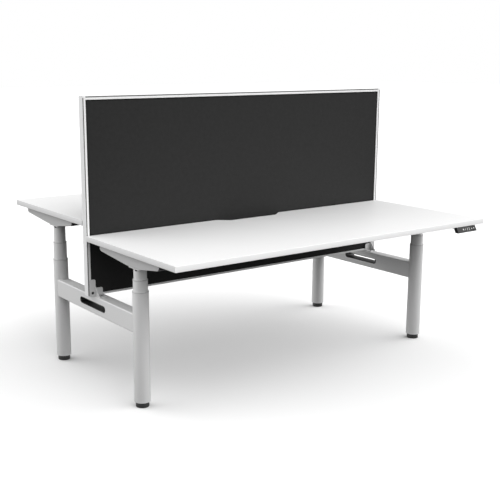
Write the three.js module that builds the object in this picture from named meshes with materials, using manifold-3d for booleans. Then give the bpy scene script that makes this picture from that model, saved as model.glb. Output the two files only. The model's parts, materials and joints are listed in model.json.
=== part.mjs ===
// Back-to-back sit-stand bench for two: two desktops on four telescopic columns, with a shared screen.
// Millimetres, +Z up. X runs along the desks, the front user sits at -Y, and the origin is on the
// floor below the middle of the screen.

import * as THREE from 'three';
import { mergeVertices } from 'three/addons/utils/BufferGeometryUtils.js';
import Module from 'manifold-3d';

// Desktops, and how far each is raised above its lowest place
const TOP_LENGTH = 1800;
const TOP_DEPTH = 730;
const TOP_THICK = 25;
const TOP_EDGE = 1.2;
const TOPS_APART = 40;
const FRONT_RAISED = 74;
const REAR_RAISED = 140;

// Cable notch in the back edge of each desktop
const NOTCH_MOUTH = 402;
const NOTCH_FLOOR = 266;
const NOTCH_DEPTH = 46;
const NOTCH_EASE = 34;

// Columns: three tubes that slide in one another
const COLUMN_INSET = 60;
const COLUMN_OFFSET = 3;
const OUTER_DIAMETER = 70;
const TUBE_WALL = 2.5;
const GLIDE_GAP = 1;
const OUTER_BOTTOM = 24;
const OUTER_TOP = 513;
const BASE_CAP = 12;
const COLLAR_HEIGHT = 5;
const COLLAR_PROUD = 0.8;
const COLLAR_CHAMFER = 1;
const MIDDLE_SHOWN = 14;
const INNER_SHOWN = 10;
const MIDDLE_FLOOR_GAP = 2;
const MIDDLE_PLUG = 10;
const INNER_FLOOR_GAP = 4;

// Drive inside each column
const MOTOR_CLEARANCE = 3.5;
const MOTOR_BODY = 70;
const GEARBOX_STEP = 4;
const GEARBOX_LENGTH = 25;
const SPINDLE_DIAMETER = 14;
const SPINDLE_FLOOR_GAP = 16;
const SPINDLE_CHAMFER = 2;
const NUT_TOP_GAP = 44;
const NUT_TUBE_WALL = 4;
const NUT_CLEARANCE = 0.6;

// Levelling feet
const FOOT_DIAMETER = 59;
const FOOT_CHAMFER = 2.5;
const FOOT_SHOULDER = 4;
const STEM_DIAMETER = 10.6;
const STEM_SHORT = 2;

// Support arms and the column's head plate
const ARM_WIDTH = 70;
const ARM_BACK_GAP = 74;
const ARM_SHORT = 206;
const ARM_DEPTH = 52;
const ARM_TIP = 30;
const ARM_FLAT = 100;
const ARM_SHEET = 3;
const ARM_LIP = 14;
const ARM_TIP_RADIUS = 9;
const HEAD_PLATE_LENGTH = 96;
const HEAD_PLATE_WIDTH = 64;
const HEAD_PLATE_THICK = 6;
const HEAD_PLATE_RADIUS = 10;

// Cross rail and control box under each desktop
const RAIL_WIDTH = 50;
const RAIL_HEIGHT = 36;
const RAIL_WALL = 2;
const RAIL_DROP = 6;
const CONTROL_LENGTH = 260;
const CONTROL_DEPTH = 100;
const CONTROL_HEIGHT = 36;
const CONTROL_RADIUS = 6;
const CONTROL_EAR = 16;
const CONTROL_EAR_THICK = 3;
const CONTROL_OFFSET = 330;
const CONTROL_RAIL_GAP = 30;
const INLET_WIDTH = 27;
const INLET_HEIGHT = 20;
const INLET_DEPTH = 16;
const INLET_END_GAP = 40;

// Handset under the user's right end of the front edge
const HANDSET_LENGTH = 148;
const HANDSET_END_GAP = 62;
const HANDSET_FACE = 28.6;
const HANDSET_LEAN = 29;
const HANDSET_CHIN = 5;
const HANDSET_DEPTH = 58;
const HANDSET_TAIL = 16;
const BUTTON_WIDTH = 12;
const BUTTON_HEIGHT = 15;
const BUTTON_RADIUS = 3;
const BUTTON_THICK = 3;
const BUTTON_PROUD = 0.8;
const BUTTON_TRAVEL = 0.8;
const BUTTONS_APART = 4;
const BUTTON_END_GAP = 10;

// End beams and the lined cable slot through each
const BEAM_WIDTH = 60;
const BEAM_HEIGHT = 85;
const BEAM_TOP = 414;
const BEAM_WALL = 3;
const BEAM_RADIUS = 6;
const SLOT_LENGTH = 238;
const SLOT_HEIGHT = 28;
const LINER_WALL = 1;
const LINER_LIP = 0.8;
const LINER_LIP_THICK = 1.2;

// Screen: extruded frame round a fabric panel
const SCREEN_TOP = 1308;
const FRAME_THICK = 34;
const FRAME_WIDTH = 17.5;
const FRAME_CROWN = 1.6;
const FRAME_LIP = 3;
const FRAME_GROOVE = 5;
const FRAME_GROOVE_DEPTH = 6;
const FRAME_CHANNEL = 8;
const CORNER_CAP = 9;
const BOTTOM_RAIL_HEIGHT = 13;
const BOTTOM_CHANNEL = 6;
const PANEL_THICK = 26;

// Saddle brackets that hold the screen on the beams
const SADDLE_SHEET = 3;
const SADDLE_OUT = 8;
const SADDLE_LENGTH = 66;
const SADDLE_FLANGE = 38;
const SADDLE_EAR_WIDTH = 30;
const SADDLE_EAR_RISE = 78;
const SADDLE_RADIUS = 8;
const SADDLE_REACH = 43;
const GUSSET_RISE = 44;
const GUSSET_TOP = 4;
const SADDLE_HOLE = 9;
const SADDLE_HOLE_RISE = 16;

// Clearance between pieces that are cut to one another, and facet counts
const FIT = 0.3;
const ROUND_SIDES = 32;
const FOOT_SIDES = 22;
const DRIVE_SIDES = 12;
const CORNER_STEPS = 3;
const CROWN_STEPS = 4;
const CURVE_STEPS = 8;
const MERGE_DISTANCE = 1e-4;

// Places worked out from the sizes above
const HALF = 0.5;
const HALF_TURN = Math.PI;
const QUARTER_TURN = Math.PI * HALF;
const COLUMN_X = TOP_LENGTH * HALF - COLUMN_INSET;
const COLUMN_BACK = TOP_DEPTH * HALF - COLUMN_OFFSET;
const COLUMN_Y = TOPS_APART * HALF + COLUMN_BACK;
const ARM_LONG = COLUMN_BACK - ARM_BACK_GAP;
const OUTER_RADIUS = OUTER_DIAMETER * HALF;
const OUTER_BORE = OUTER_RADIUS - TUBE_WALL;
const MIDDLE_RADIUS = OUTER_BORE - GLIDE_GAP;
const MIDDLE_BORE = MIDDLE_RADIUS - TUBE_WALL;
const INNER_RADIUS = MIDDLE_BORE - GLIDE_GAP;
const INNER_BORE = INNER_RADIUS - TUBE_WALL;
const SPINDLE_RADIUS = SPINDLE_DIAMETER * HALF;
const NUT_BORE = SPINDLE_RADIUS + NUT_CLEARANCE;
const HEAD_DROP = ARM_DEPTH + HEAD_PLATE_THICK;
const CAP_TOP = OUTER_BOTTOM + BASE_CAP;
const MIDDLE_LOW_BOTTOM = CAP_TOP + MIDDLE_FLOOR_GAP;
const MIDDLE_LOW_TOP = OUTER_TOP + MIDDLE_SHOWN;
const LOWEST_HEAD = MIDDLE_LOW_TOP + INNER_SHOWN;
const LOWEST_UNDERSIDE = LOWEST_HEAD + HEAD_DROP;
const INNER_LOW_BOTTOM = MIDDLE_LOW_BOTTOM + MIDDLE_PLUG + INNER_FLOOR_GAP;
const INNER_LENGTH = LOWEST_HEAD - INNER_LOW_BOTTOM;
const DRIVE_LENGTH = MOTOR_BODY + GEARBOX_LENGTH;
const SPINDLE_LENGTH = LOWEST_HEAD - DRIVE_LENGTH - CAP_TOP - SPINDLE_FLOOR_GAP;
const NUT_LOW_TOP = LOWEST_HEAD - DRIVE_LENGTH - NUT_TOP_GAP;
const BEAM_MIDDLE = BEAM_TOP - BEAM_HEIGHT * HALF;
const SCREEN_BOTTOM = BEAM_TOP + SADDLE_SHEET;
const HALF_FRAME = FRAME_THICK * HALF;

const wasm = await Module();
wasm.setup();

// Finishes
function finish(color, roughness, metalness = 0) {
  return new THREE.MeshStandardMaterial({ color, roughness, metalness });
}

const WHITE_BOARD = finish(0xf4f4f2, 0.45);
const SILVER_PAINT = finish(0xc3c5c7, 0.5, 0.2);
const BRIGHT_EXTRUSION = finish(0xdfe1e2, 0.35, 0.6);
const CHARCOAL_FABRIC = finish(0x303133, 0.95);
const BLACK_PLASTIC = finish(0x1b1b1c, 0.55);
const DARK_PLASTIC = finish(0x3b3b3d, 0.6);
const GREY_PLASTIC = finish(0xb9bbbd, 0.6);
const HANDSET_PLASTIC = finish(0x48484a, 0.5);
const BARE_STEEL = finish(0x9a9da1, 0.35, 0.9);

// Booleans on closed meshes
function solidOf(geometry) {
  const bare = geometry.clone();
  bare.deleteAttribute('normal');
  bare.deleteAttribute('uv');
  const merged = mergeVertices(bare, MERGE_DISTANCE);
  const mesh = new wasm.Mesh({
    numProp: 3,
    vertProperties: merged.attributes.position.array,
    triVerts: merged.index.array,
  });
  return new wasm.Manifold(mesh);
}

function geometryOf(solid) {
  const mesh = solid.getMesh();
  const geometry = new THREE.BufferGeometry();
  geometry.setAttribute('position', new THREE.BufferAttribute(mesh.vertProperties, 3));
  geometry.setIndex(new THREE.BufferAttribute(mesh.triVerts, 1));
  geometry.computeVertexNormals();
  return geometry;
}

function cut(body, ...tools) {
  return geometryOf(tools.reduce((solid, tool) => solid.subtract(solidOf(tool)), solidOf(body)));
}

function join(...bodies) {
  return geometryOf(bodies.map(solidOf).reduce((solid, other) => solid.add(other)));
}

// Basic forms
function turned(corners, sides = ROUND_SIDES) {
  const outline = corners.map(([radius, height]) => new THREE.Vector2(radius, height));
  if (outline[0].x > 0) outline.push(outline[0].clone());
  return new THREE.LatheGeometry(outline, sides).rotateX(QUARTER_TURN);
}

function extruded(shape, length, curveSegments = CORNER_STEPS) {
  return new THREE.ExtrudeGeometry(shape, { depth: length, bevelEnabled: false, curveSegments });
}

// A shape drawn in (Y, Z) and drawn out along X, centred on X = 0
function alongX(shape, length) {
  const turn = new THREE.Matrix4().makeBasis(
    new THREE.Vector3(0, 1, 0),
    new THREE.Vector3(0, 0, 1),
    new THREE.Vector3(1, 0, 0),
  );
  return extruded(shape, length).translate(0, 0, -length * HALF).applyMatrix4(turn);
}

// A shape drawn in (X, Z) and drawn out along Y, centred on Y = 0
function alongY(shape, length) {
  return extruded(shape, length).translate(0, 0, -length * HALF).rotateX(QUARTER_TURN);
}

function polygon(corners) {
  return new THREE.Shape(corners.map(([a, b]) => new THREE.Vector2(a, b)));
}

function roundedRectangle(width, height, radius) {
  const x = width * HALF - radius;
  const y = height * HALF - radius;
  const shape = new THREE.Shape();
  shape.absarc(x, y, radius, 0, QUARTER_TURN);
  shape.absarc(-x, y, radius, QUARTER_TURN, HALF_TURN);
  shape.absarc(-x, -y, radius, HALF_TURN, HALF_TURN + QUARTER_TURN);
  shape.absarc(x, -y, radius, HALF_TURN + QUARTER_TURN, HALF_TURN + HALF_TURN);
  return shape;
}

function box(width, depth, height) {
  return new THREE.BoxGeometry(width, depth, height);
}

function named(name, geometry, material) {
  const mesh = new THREE.Mesh(geometry, material);
  mesh.name = name;
  return mesh;
}

// Desktop with its cable notch, drawn in plan and extruded upwards from its underside
function desktopGeometry() {
  const end = TOP_LENGTH * HALF;
  const back = -TOPS_APART * HALF;
  const front = back - TOP_DEPTH;
  const mouth = NOTCH_MOUTH * HALF;
  const floor = NOTCH_FLOOR * HALF;
  const deep = back - NOTCH_DEPTH;
  const shape = new THREE.Shape();
  shape.moveTo(-end, front);
  shape.lineTo(end, front);
  shape.lineTo(end, back);
  shape.lineTo(mouth, back);
  shape.bezierCurveTo(mouth - NOTCH_EASE, back, floor + NOTCH_EASE, deep, floor, deep);
  shape.lineTo(-floor, deep);
  shape.bezierCurveTo(-floor - NOTCH_EASE, deep, -mouth + NOTCH_EASE, back, -mouth, back);
  shape.lineTo(-end, back);
  const settings = {
    depth: TOP_THICK - 2 * TOP_EDGE,
    bevelThickness: TOP_EDGE,
    bevelSize: TOP_EDGE,
    bevelOffset: -TOP_EDGE,
    bevelSegments: 1,
    curveSegments: CURVE_STEPS,
  };
  return new THREE.ExtrudeGeometry(shape, settings).translate(0, 0, TOP_EDGE);
}

// Folded channel arm with in-turned top lips, open at both ends; its long side points to +Y
function armGeometry() {
  const flat = ARM_FLAT * HALF;
  const side = polygon([
    [-ARM_SHORT, 0],
    [-ARM_SHORT, -ARM_TIP + ARM_TIP_RADIUS],
    [-ARM_SHORT + ARM_TIP_RADIUS, -ARM_TIP],
    [-flat, -ARM_DEPTH],
    [flat, -ARM_DEPTH],
    [ARM_LONG - ARM_TIP_RADIUS, -ARM_TIP],
    [ARM_LONG, -ARM_TIP + ARM_TIP_RADIUS],
    [ARM_LONG, 0],
  ]);
  const past = ARM_SHEET;
  const tipFloor = -ARM_TIP + ARM_SHEET;
  const inside = polygon([
    [-ARM_SHORT - past, -ARM_SHEET],
    [-ARM_SHORT - past, tipFloor],
    [-ARM_SHORT + ARM_TIP_RADIUS, tipFloor],
    [-flat, -ARM_DEPTH + ARM_SHEET],
    [flat, -ARM_DEPTH + ARM_SHEET],
    [ARM_LONG - ARM_TIP_RADIUS, tipFloor],
    [ARM_LONG + past, tipFloor],
    [ARM_LONG + past, -ARM_SHEET],
  ]);
  const hollow = alongX(inside, ARM_WIDTH - 2 * ARM_SHEET);
  const reach = ARM_LONG + ARM_SHORT + 2 * past;
  const throat = box(ARM_WIDTH - 2 * ARM_LIP, reach, 2 * ARM_SHEET + past);
  throat.translate(0, (ARM_LONG - ARM_SHORT) * HALF, -past * HALF);
  return cut(alongX(side, ARM_WIDTH), hollow, throat);
}

// Top stage: a tube with the head plate that bolts under the arm; its origin is at the plate's top
function innerTubeGeometry() {
  const low = -HEAD_PLATE_THICK - INNER_LENGTH;
  const tube = turned([
    [INNER_RADIUS, low],
    [INNER_RADIUS, -HEAD_PLATE_THICK * HALF],
    [INNER_BORE, -HEAD_PLATE_THICK * HALF],
    [INNER_BORE, low],
  ]);
  const plate = extruded(
    roundedRectangle(HEAD_PLATE_WIDTH, HEAD_PLATE_LENGTH, HEAD_PLATE_RADIUS),
    HEAD_PLATE_THICK,
  );
  return join(plate.translate(0, 0, -HEAD_PLATE_THICK), tube);
}

function motorGeometry() {
  const motorRadius = INNER_BORE - MOTOR_CLEARANCE;
  const gearRadius = motorRadius - GEARBOX_STEP;
  return turned([
    [0, -DRIVE_LENGTH],
    [gearRadius, -DRIVE_LENGTH],
    [gearRadius, -MOTOR_BODY],
    [motorRadius, -MOTOR_BODY],
    [motorRadius, 0],
    [0, 0],
  ], DRIVE_SIDES);
}

function spindleGeometry() {
  return turned([
    [0, -SPINDLE_LENGTH],
    [SPINDLE_RADIUS - SPINDLE_CHAMFER, -SPINDLE_LENGTH],
    [SPINDLE_RADIUS, -SPINDLE_LENGTH + SPINDLE_CHAMFER],
    [SPINDLE_RADIUS, 0],
    [0, 0],
  ], DRIVE_SIDES);
}

// Hollow rail between the two arms of one desktop
function railGeometry() {
  const section = polygon([
    [-RAIL_WIDTH * HALF, -RAIL_HEIGHT],
    [RAIL_WIDTH * HALF, -RAIL_HEIGHT],
    [RAIL_WIDTH * HALF, 0],
    [-RAIL_WIDTH * HALF, 0],
  ]);
  const inner = RAIL_WIDTH * HALF - RAIL_WALL;
  section.holes.push(polygon([
    [-inner, -RAIL_WALL],
    [inner, -RAIL_WALL],
    [inner, RAIL_WALL - RAIL_HEIGHT],
    [-inner, RAIL_WALL - RAIL_HEIGHT],
  ]));
  return alongX(section, 2 * COLUMN_X - ARM_WIDTH);
}

// Control box with a screw ear at each end and a mains inlet in its back, hung under the desktop
function controlBoxGeometry() {
  const body = extruded(roundedRectangle(CONTROL_LENGTH, CONTROL_DEPTH, CONTROL_RADIUS), CONTROL_HEIGHT);
  const across = CONTROL_LENGTH + 2 * CONTROL_EAR;
  const ears = extruded(roundedRectangle(across, CONTROL_DEPTH * HALF, CONTROL_RADIUS), CONTROL_EAR_THICK);
  const housing = join(body.translate(0, 0, -CONTROL_HEIGHT), ears.translate(0, 0, -CONTROL_EAR_THICK));
  const inlet = box(INLET_WIDTH, 2 * INLET_DEPTH, INLET_HEIGHT);
  const inletX = (INLET_WIDTH - CONTROL_LENGTH) * HALF + INLET_END_GAP;
  return cut(housing, inlet.translate(inletX, CONTROL_DEPTH * HALF, -CONTROL_HEIGHT * HALF));
}

// The handset's leaning face, as a frame with X along the desk, Y up the face and Z out of it
function handsetFace() {
  const lean = THREE.MathUtils.degToRad(HANDSET_LEAN);
  const middle = HANDSET_FACE * HALF;
  const face = new THREE.Group();
  face.position.set(0, -middle * Math.sin(lean), -middle * Math.cos(lean));
  face.rotation.x = QUARTER_TURN - lean;
  face.updateMatrix();
  return face;
}

function buttonX(index) {
  const last = HANDSET_LENGTH * HALF - BUTTON_END_GAP - BUTTON_WIDTH * HALF;
  return last - (1 - index) * (BUTTON_WIDTH + BUTTONS_APART);
}

function buttonGeometry() {
  const shape = roundedRectangle(BUTTON_WIDTH, BUTTON_HEIGHT, BUTTON_RADIUS);
  return extruded(shape, BUTTON_THICK).translate(0, 0, BUTTON_PROUD - BUTTON_THICK);
}

// Wedge-shaped handset with a pocket for each button; its origin is at the face's top edge
function handsetGeometry() {
  const lean = THREE.MathUtils.degToRad(HANDSET_LEAN);
  const chinY = -HANDSET_FACE * Math.sin(lean);
  const chinZ = -HANDSET_FACE * Math.cos(lean);
  const section = polygon([
    [0, 0],
    [chinY, chinZ],
    [chinY + HANDSET_CHIN, chinZ - HANDSET_CHIN * HALF],
    [HANDSET_DEPTH, -HANDSET_TAIL],
    [HANDSET_DEPTH, 0],
  ]);
  const pocketShape = roundedRectangle(
    BUTTON_WIDTH + 2 * FIT,
    BUTTON_HEIGHT + 2 * FIT,
    BUTTON_RADIUS + FIT,
  );
  const pocketDepth = BUTTON_THICK - BUTTON_PROUD + BUTTON_TRAVEL + FIT;
  const placed = handsetFace().matrix;
  const pockets = [0, 1].map((index) => {
    const pocket = extruded(pocketShape, pocketDepth + BUTTON_THICK);
    return pocket.translate(buttonX(index), 0, -pocketDepth).applyMatrix4(placed);
  });
  return cut(alongX(section, HANDSET_LENGTH), ...pockets);
}

// Everything that rises with one desktop; the rear one is this same group turned half a turn
function addDesk(parent, row, raised, columnNames) {
  const desk = new THREE.Group();
  desk.position.z = LOWEST_UNDERSIDE + raised;
  desk.rotation.z = row === 'rear' ? HALF_TURN : 0;
  parent.add(desk);

  desk.add(named(`${row}_desktop`, desktopGeometry(), WHITE_BOARD));

  columnNames.forEach((name, index) => {
    const column = new THREE.Group();
    column.position.set(index === 0 ? -COLUMN_X : COLUMN_X, -COLUMN_Y, 0);
    column.rotation.z = index === 0 ? 0 : HALF_TURN;
    desk.add(column);
    column.add(named(`${name}_arm`, armGeometry(), SILVER_PAINT));
    const tube = named(`${name}_inner_tube`, innerTubeGeometry(), SILVER_PAINT);
    tube.position.z = -ARM_DEPTH;
    const motor = named(`${name}_motor`, motorGeometry(), BLACK_PLASTIC);
    motor.position.z = -HEAD_DROP;
    const spindle = named(`${name}_spindle`, spindleGeometry(), BARE_STEEL);
    spindle.position.z = -HEAD_DROP - DRIVE_LENGTH;
    column.add(tube, motor, spindle);
  });

  const rail = named(`${row}_cross_rail`, railGeometry(), SILVER_PAINT);
  rail.position.set(0, -COLUMN_Y, -RAIL_DROP);
  const control = named(`${row}_control_box`, controlBoxGeometry(), BLACK_PLASTIC);
  const controlY = -COLUMN_Y + (RAIL_WIDTH + CONTROL_DEPTH) * HALF + CONTROL_RAIL_GAP;
  control.position.set(CONTROL_OFFSET, controlY, 0);
  desk.add(rail, control);

  const handset = new THREE.Group();
  const handsetX = TOP_LENGTH * HALF - HANDSET_END_GAP - HANDSET_LENGTH * HALF;
  handset.position.set(handsetX, -TOPS_APART * HALF - TOP_DEPTH, 0);
  desk.add(handset);
  handset.add(named(`${row}_handset`, handsetGeometry(), HANDSET_PLASTIC));
  const face = handsetFace();
  handset.add(face);
  ['up', 'down'].forEach((use, index) => {
    const button = named(`${row}_${use}_button`, buttonGeometry(), HANDSET_PLASTIC);
    button.position.x = buttonX(index);
    face.add(button);
  });
}

// Lowest stage of a column: a tube on a base cap that is bored for the foot's stem
function outerTubeGeometry() {
  const stemBore = STEM_DIAMETER * HALF + FIT;
  return turned([
    [stemBore, OUTER_BOTTOM],
    [OUTER_RADIUS, OUTER_BOTTOM],
    [OUTER_RADIUS, OUTER_TOP - COLLAR_HEIGHT],
    [OUTER_BORE, OUTER_TOP - COLLAR_HEIGHT],
    [OUTER_BORE, CAP_TOP],
    [stemBore, CAP_TOP],
  ]);
}

// Plastic guide ring on a tube's rim
function collarGeometry(tubeRadius, slidingRadius, top) {
  const radius = tubeRadius + COLLAR_PROUD;
  return turned([
    [slidingRadius + FIT, top - COLLAR_HEIGHT],
    [radius, top - COLLAR_HEIGHT],
    [radius, top - COLLAR_CHAMFER],
    [radius - COLLAR_CHAMFER, top],
    [slidingRadius + FIT, top],
  ]);
}

// Middle stage: a tube with a floor plug that carries the standing nut tube round the spindle
function middleTubeGeometry() {
  const floor = MIDDLE_LOW_BOTTOM + MIDDLE_PLUG;
  const nutRadius = NUT_BORE + NUT_TUBE_WALL;
  return turned([
    [NUT_BORE, MIDDLE_LOW_BOTTOM],
    [MIDDLE_RADIUS, MIDDLE_LOW_BOTTOM],
    [MIDDLE_RADIUS, MIDDLE_LOW_TOP - COLLAR_HEIGHT],
    [MIDDLE_BORE, MIDDLE_LOW_TOP - COLLAR_HEIGHT],
    [MIDDLE_BORE, floor],
    [nutRadius, floor],
    [nutRadius, NUT_LOW_TOP],
    [NUT_BORE, NUT_LOW_TOP],
  ]);
}

// Round levelling foot whose stem stands in the tube's base cap
function footGeometry() {
  const radius = FOOT_DIAMETER * HALF;
  const stem = STEM_DIAMETER * HALF;
  const top = OUTER_BOTTOM - FIT;
  return turned([
    [0, 0],
    [radius - FOOT_CHAMFER, 0],
    [radius, FOOT_CHAMFER],
    [radius, top - FOOT_SHOULDER],
    [radius - FOOT_CHAMFER, top],
    [stem, top],
    [stem, CAP_TOP - STEM_SHORT],
    [0, CAP_TOP - STEM_SHORT],
  ], FOOT_SIDES);
}

function addColumnBase(parent, name, x, y, raised) {
  const column = new THREE.Group();
  column.position.set(x, y, 0);
  parent.add(column);
  column.add(named(`${name}_outer_tube`, outerTubeGeometry(), SILVER_PAINT));
  const outerCollar = collarGeometry(OUTER_RADIUS, MIDDLE_RADIUS, OUTER_TOP);
  column.add(named(`${name}_outer_collar`, outerCollar, GREY_PLASTIC));
  column.add(named(`${name}_foot`, footGeometry(), DARK_PLASTIC));

  const stage = new THREE.Group();
  stage.position.z = raised * HALF;
  column.add(stage);
  stage.add(named(`${name}_middle_tube`, middleTubeGeometry(), SILVER_PAINT));
  const middleCollar = collarGeometry(MIDDLE_RADIUS, INNER_RADIUS, MIDDLE_LOW_TOP);
  stage.add(named(`${name}_middle_collar`, middleCollar, GREY_PLASTIC));
}

// Round-ended slot outline in (Y, Z)
function slotShape(length, height) {
  return roundedRectangle(length, height, height * HALF);
}

// Hollow beam, scribed to the two tubes at its ends and pierced by the cable slot
function beamGeometry() {
  const section = roundedRectangle(BEAM_WIDTH, BEAM_HEIGHT, BEAM_RADIUS);
  const bore = roundedRectangle(
    BEAM_WIDTH - 2 * BEAM_WALL,
    BEAM_HEIGHT - 2 * BEAM_WALL,
    Math.max(BEAM_RADIUS - BEAM_WALL, FIT),
  );
  section.holes.push(bore);
  const ends = [-COLUMN_Y, COLUMN_Y].map((y) => {
    const radius = OUTER_RADIUS + FIT;
    const tube = new THREE.CylinderGeometry(radius, radius, 2 * BEAM_HEIGHT, ROUND_SIDES);
    return tube.rotateX(QUARTER_TURN).translate(0, y, 0);
  });
  const slot = alongX(slotShape(SLOT_LENGTH, SLOT_HEIGHT), 2 * BEAM_WIDTH);
  return cut(alongY(section, 2 * COLUMN_Y), ...ends, slot);
}

// Plastic sleeve right through the slot, with a thin lip on both faces of the beam
function linerGeometry() {
  const outsideLength = SLOT_LENGTH - 2 * FIT;
  const outsideHeight = SLOT_HEIGHT - 2 * FIT;
  const across = BEAM_WIDTH + 2 * LINER_LIP_THICK + 2 * FIT;
  const sleeve = alongX(slotShape(outsideLength, outsideHeight), across);
  const lipShape = slotShape(SLOT_LENGTH + 2 * LINER_LIP, SLOT_HEIGHT + 2 * LINER_LIP);
  const lips = [-1, 1].map((side) => {
    const middle = side * (across - LINER_LIP_THICK) * HALF;
    return alongX(lipShape, LINER_LIP_THICK).translate(middle, 0, 0);
  });
  const opening = slotShape(outsideLength - 2 * LINER_WALL, outsideHeight - 2 * LINER_WALL);
  return cut(join(sleeve, ...lips), alongX(opening, 2 * across));
}

// Frame section: crowned outer edge, a groove in both faces and a channel for the panel.
// The first axis runs inwards from the outer edge, the second through the thickness.
function frameSection(grooved) {
  const shape = new THREE.Shape();
  const faces = [[HALF_FRAME, 1], [-HALF_FRAME, -1]];
  const channelHalf = PANEL_THICK * HALF + FIT;
  shape.moveTo(FRAME_CROWN, -HALF_FRAME);
  faces.forEach(([face, side]) => {
    if (side > 0) shape.quadraticCurveTo(-FRAME_CROWN, 0, FRAME_CROWN, face);
    const sunk = face - side * FRAME_GROOVE_DEPTH;
    const groove = [
      [FRAME_LIP, face],
      [FRAME_LIP, sunk],
      [FRAME_LIP + FRAME_GROOVE, sunk],
      [FRAME_LIP + FRAME_GROOVE, face],
    ];
    const mouth = [
      [FRAME_WIDTH, face],
      [FRAME_WIDTH, side * channelHalf],
      [FRAME_WIDTH - FRAME_CHANNEL, side * channelHalf],
    ];
    const run = grooved ? [...groove, ...mouth] : mouth;
    const ordered = side > 0 ? run : run.reverse();
    ordered.forEach(([u, v]) => shape.lineTo(u, v));
  });
  return shape;
}

// Upright of the screen's frame, plain at its top corner; its outer edge is at X = 0, facing -X
function postGeometry() {
  const height = SCREEN_TOP - SCREEN_BOTTOM;
  const upright = extruded(frameSection(true), height, CROWN_STEPS);
  const cap = extruded(frameSection(false), CORNER_CAP, CROWN_STEPS);
  return join(upright, cap.translate(0, 0, height - CORNER_CAP)).translate(0, 0, SCREEN_BOTTOM);
}

// Length of the rails between the two uprights
function railSpan() {
  return TOP_LENGTH - 2 * FRAME_WIDTH;
}

function topRailGeometry() {
  const section = extruded(frameSection(true), railSpan(), CROWN_STEPS);
  section.translate(0, 0, -railSpan() * HALF);
  const turn = new THREE.Matrix4().makeBasis(
    new THREE.Vector3(0, 0, -1),
    new THREE.Vector3(0, 1, 0),
    new THREE.Vector3(1, 0, 0),
  );
  return section.applyMatrix4(turn).translate(0, 0, SCREEN_TOP);
}

function bottomRailGeometry() {
  const channelHalf = PANEL_THICK * HALF + FIT;
  const floor = BOTTOM_RAIL_HEIGHT - BOTTOM_CHANNEL;
  const section = polygon([
    [-HALF_FRAME, 0],
    [HALF_FRAME, 0],
    [HALF_FRAME, BOTTOM_RAIL_HEIGHT],
    [channelHalf, BOTTOM_RAIL_HEIGHT],
    [channelHalf, floor],
    [-channelHalf, floor],
    [-channelHalf, BOTTOM_RAIL_HEIGHT],
    [-HALF_FRAME, BOTTOM_RAIL_HEIGHT],
  ]);
  return alongX(section, railSpan()).translate(0, 0, SCREEN_BOTTOM);
}

// Fabric-wrapped panel, its edges in the frame's channels
function panelGeometry() {
  const width = railSpan() + 2 * (FRAME_CHANNEL - FIT);
  const low = SCREEN_BOTTOM + BOTTOM_RAIL_HEIGHT - BOTTOM_CHANNEL + FIT;
  const high = SCREEN_TOP - FRAME_WIDTH + FRAME_CHANNEL - FIT;
  return box(width, PANEL_THICK, high - low).translate(0, 0, (low + high) * HALF);
}

// Folded saddle: a base under the screen, and on each side a face flange with an ear, a gusset
// across it and a foot flange on the beam. Drawn for the left end, with X = 0 at the screen's end.
function saddleGeometry() {
  const faceY = HALF_FRAME + FIT;
  const earEnd = SADDLE_OUT + SADDLE_EAR_WIDTH;
  const farEnd = SADDLE_OUT + SADDLE_LENGTH;
  const beamEdge = COLUMN_INSET - BEAM_WIDTH * HALF + BEAM_RADIUS;
  const reach = faceY + SADDLE_REACH;
  const base = box(farEnd - beamEdge, 2 * reach, SADDLE_SHEET);
  base.translate((farEnd + beamEdge) * HALF, 0, SADDLE_SHEET * HALF);
  const earCorner = SADDLE_EAR_RISE - SADDLE_RADIUS;
  const flange = new THREE.Shape();
  flange.moveTo(SADDLE_OUT, 0);
  flange.lineTo(farEnd, 0);
  flange.absarc(farEnd - SADDLE_RADIUS, SADDLE_FLANGE - SADDLE_RADIUS, SADDLE_RADIUS, 0, QUARTER_TURN);
  flange.lineTo(earEnd, SADDLE_FLANGE);
  flange.absarc(earEnd - SADDLE_RADIUS, earCorner, SADDLE_RADIUS, 0, QUARTER_TURN);
  flange.absarc(SADDLE_OUT + SADDLE_RADIUS, earCorner, SADDLE_RADIUS, QUARTER_TURN, HALF_TURN);
  const hole = new THREE.Path();
  hole.absarc((SADDLE_OUT + earEnd) * HALF, SADDLE_HOLE_RISE, SADDLE_HOLE * HALF, 0, 2 * HALF_TURN);
  flange.holes.push(hole);
  const sides = [-1, 1].flatMap((side) => {
    const face = alongY(flange, SADDLE_SHEET).translate(0, side * (faceY + SADDLE_SHEET * HALF), 0);
    const gusset = polygon([
      [side * faceY, 0],
      [side * reach, 0],
      [side * reach, SADDLE_SHEET],
      [side * (faceY + SADDLE_SHEET + GUSSET_TOP), GUSSET_RISE],
      [side * faceY, GUSSET_RISE],
    ]);
    const web = alongX(gusset, SADDLE_SHEET).translate(earEnd - SADDLE_SHEET * HALF, 0, 0);
    return [face, web];
  });
  return join(base, ...sides).translate(0, 0, BEAM_TOP);
}

// One end of the fixed frame: beam, slot liner and saddle. Drawn for the left end.
function addEnd(parent, name, turn) {
  const end = new THREE.Group();
  end.rotation.z = turn;
  parent.add(end);
  const beam = named(`${name}_beam`, beamGeometry(), SILVER_PAINT);
  const liner = named(`${name}_slot_liner`, linerGeometry(), BLACK_PLASTIC);
  [beam, liner].forEach((piece) => piece.position.set(-COLUMN_X, 0, BEAM_MIDDLE));
  const saddle = named(`${name}_screen_saddle`, saddleGeometry(), SILVER_PAINT);
  const post = named(`${name}_screen_post`, postGeometry(), BRIGHT_EXTRUSION);
  [saddle, post].forEach((piece) => piece.position.setX(-TOP_LENGTH * HALF));
  end.add(beam, liner, saddle, post);
}

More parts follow.
